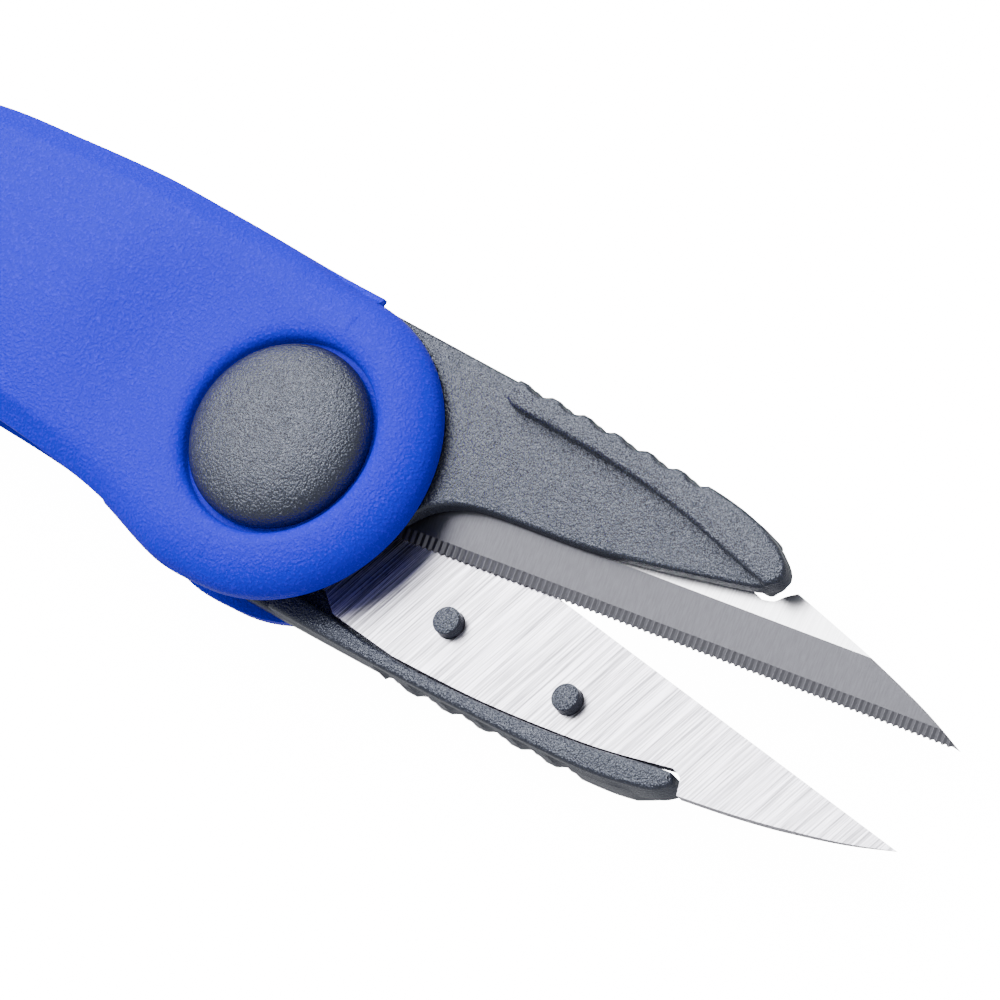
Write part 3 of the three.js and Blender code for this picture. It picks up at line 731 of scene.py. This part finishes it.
def bevel_tool(width):
    """The wedge that grinds the bevel."""
    low = BLADE_GAP + EDGE_THICKNESS - (BLADE_THICKNESS - EDGE_THICKNESS) / width
    top = BLADE_GAP + BLADE_THICKNESS
    section = [(-1, low), (width, top), (width, top + 1), (-1, top + 1)]
    points = [along_edge(s, t, z) for s in (-5, 75) for t, z in section]
    faces = [(0, 1, 2, 3), (7, 6, 5, 4), (0, 4, 5, 1), (1, 5, 6, 2), (2, 6, 7, 3), (3, 7, 4, 0)]
    return mesh_object("tool", points, faces, bevel_steel)


def teeth_tool():
    """Fine grooves ground across the edge from the bevel side, one to a tooth."""
    points, faces = [], []
    count = int(TOOTHED_LENGTH / TOOTH_PITCH)
    rise = (BLADE_THICKNESS - EDGE_THICKNESS) / BEVEL_WIDTH
    slope = math.hypot(1, EDGE_SLOPE)
    for i in range(count):
        s = EDGE_START_X * slope + 0.5 + (i + 0.5) * TOOTH_PITCH
        half = TOOTH_PITCH * 0.46
        base = len(points)
        for t, depth in ((-0.5, 0.10), (STRIP_WIDTH, 0.05)):
            surface = BLADE_GAP + EDGE_THICKNESS + rise * t
            points += [along_edge(s - half, t, surface + 0.2), along_edge(s - half, t, surface),
                       along_edge(s, t, surface - depth), along_edge(s + half, t, surface),
                       along_edge(s + half, t, surface + 0.2)]
        faces += [tuple(base + k for k in (0, 1, 2, 3, 4)), tuple(base + 5 + k for k in (4, 3, 2, 1, 0))]
        faces += [(base + k, base + 5 + k, base + 5 + (k + 1) % 5, base + (k + 1) % 5) for k in range(5)]
    return mesh_object("tool", points, faces, tooth_steel)


def blade(name, steel, notch, toothed):
    """A ground blade with two holes for the pegs."""
    body = slab(name, blade_outline(notch, toothed), BLADE_GAP, BLADE_GAP + BLADE_THICKNESS, steel)
    body.data.materials.append(bevel_steel)
    body.data.materials.append(tooth_steel)
    cut(body, bevel_tool(BEVEL_WIDTH))
    cut(body, *[cylinder(PEG_RADIUS + 0.04, -1, 3, x, y, 40) for x, y in PEGS])
    if toothed:
        cut(body, teeth_tool())
    return body


def paint_bevel(obj, up):
    """Marks each face as flat, bevel or tooth strip by its slope and its distance from the edge."""
    for face in obj.data.polygons:
        slope = face.normal.z * up
        x, y = face.center.x / MM, face.center.y / MM * up
        from_edge = (y - EDGE_START_Y) * math.cos(edge_angle) - x * math.sin(edge_angle)
        height = (face.center.z / MM - MIDDLE) * up
        if height < BLADE_GAP + 0.02 or slope < -0.5:
            face.material_index = 0
        elif from_edge < STRIP_WIDTH + 0.02 and slope < 0.9995 and len(obj.data.materials) > 2 and up > 0:
            face.material_index = 2
        else:
            face.material_index = 1 if 0.8 < slope < 0.9995 else 0


front_blade = blade("front_blade_steel", flat_steel, FRONT_NOTCH, True)
paint_bevel(front_blade, 1)
smooth(front_blade, 8)
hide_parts("front_blade")
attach(front_blade, "upper_jaw")
rear_blade = turn_over(blade("rear_blade_steel", rear_steel, REAR_NOTCH, False))
paint_bevel(rear_blade, -1)
smooth(rear_blade, 8)
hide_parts("rear_blade")
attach(rear_blade, "lower_jaw")

# ---------- Pieces kept from the CAD ----------
FINISHES = {
    "pivot_screw": zinc, "pivot_nut": zinc, "pivot_sleeve": zinc, "front_washer": zinc, "rear_washer": zinc,
    "shell_screw_1": zinc, "shell_screw_2": zinc, "spring_carrier": grey_smooth,
    "return_spring": spring_steel, "tail_eyelet": nickel,
}
for node, material in FINISHES.items():
    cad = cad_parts[node]
    cad.data.materials.clear()
    cad.data.materials.append(material)
    cad.data.polygons.foreach_set("use_smooth", [True] * len(cad.data.polygons))
    cad.data.set_sharp_from_angle(angle=math.radians(35))


# ---------- Stage ----------
def stage():
    """A bright pale floor that the camera sees, in a soft even tent of light, with one broad softbox."""
    bpy.ops.mesh.primitive_plane_add(size=4, location=(0, 0, -0.00005))
    floor = bpy.context.object
    floor.name = "floor"
    material, nodes, links, shader = new_material("floor")
    shader.inputs["Base Color"].default_value = (0.90, 0.91, 0.95, 1)
    shader.inputs["Roughness"].default_value = 0.9
    shader.inputs["Emission Color"].default_value = (1, 1, 1, 1)
    shader.inputs["Emission Strength"].default_value = 15.0
    floor.data.materials.append(material)
    floor.visible_diffuse = False
    floor.visible_glossy = False
    world = bpy.data.worlds.new("studio")
    bpy.context.scene.world = world
    world.use_nodes = True
    world.node_tree.nodes["Background"].inputs["Color"].default_value = (0.95, 0.96, 1, 1)
    world.node_tree.nodes["Background"].inputs["Strength"].default_value = 0.6
    area_light("softbox", (-0.32, 0.078, 0.50), 0.34, 4.0, (1, 1, 1))
    area_light("key", (-0.35, 0.35, 0.35), 0.3, 2.2, (0.98, 0.99, 1))


def area_light(name, spot, size, power, color):
    data = bpy.data.lights.new(name, "AREA")
    data.size = size
    data.energy = power
    data.color = color
    lamp = bpy.data.objects.new(name, data)
    bpy.context.collection.objects.link(lamp)
    lamp.location = spot
    lamp.rotation_mode = "QUATERNION"
    lamp.rotation_quaternion = (Vector((0, 0, 0.006)) - Vector(spot)).to_track_quat("-Z", "Y")


def camera():
    """Looks down on the snips from beyond the blade tips, with the picture rolled by an eighth of a turn."""
    elevation = math.radians(56.8)
    heading = math.radians(-13.8)
    distance = 2.5
    picture_width = 0.071582  # metres across the picture, at the snips
    aside, lower = 0.007845, 0.01182  # from the pivot to the middle of the picture
    ahead = Vector((math.cos(heading), math.sin(heading), 0))
    side = Vector((-math.sin(heading), math.cos(heading), 0))
    back = ahead * math.cos(elevation) + Vector((0, 0, math.sin(elevation)))
    down = ahead * math.sin(elevation) - Vector((0, 0, math.cos(elevation)))
    right = (side + down).normalized()
    up = (side - down).normalized()
    target = Vector((0, 0, MIDDLE * MM)) + side * aside + down * lower
    data = bpy.data.cameras.new("camera")
    data.sensor_width = 36
    data.lens = data.sensor_width * distance / picture_width
    data.clip_start, data.clip_end = 0.1, 20
    lens = bpy.data.objects.new("camera", data)
    bpy.context.collection.objects.link(lens)
    turn = Matrix((right, up, back)).transposed().to_4x4()
    lens.matrix_world = Matrix.Translation(target + back * distance) @ turn
    bpy.context.scene.camera = lens


stage()
camera()
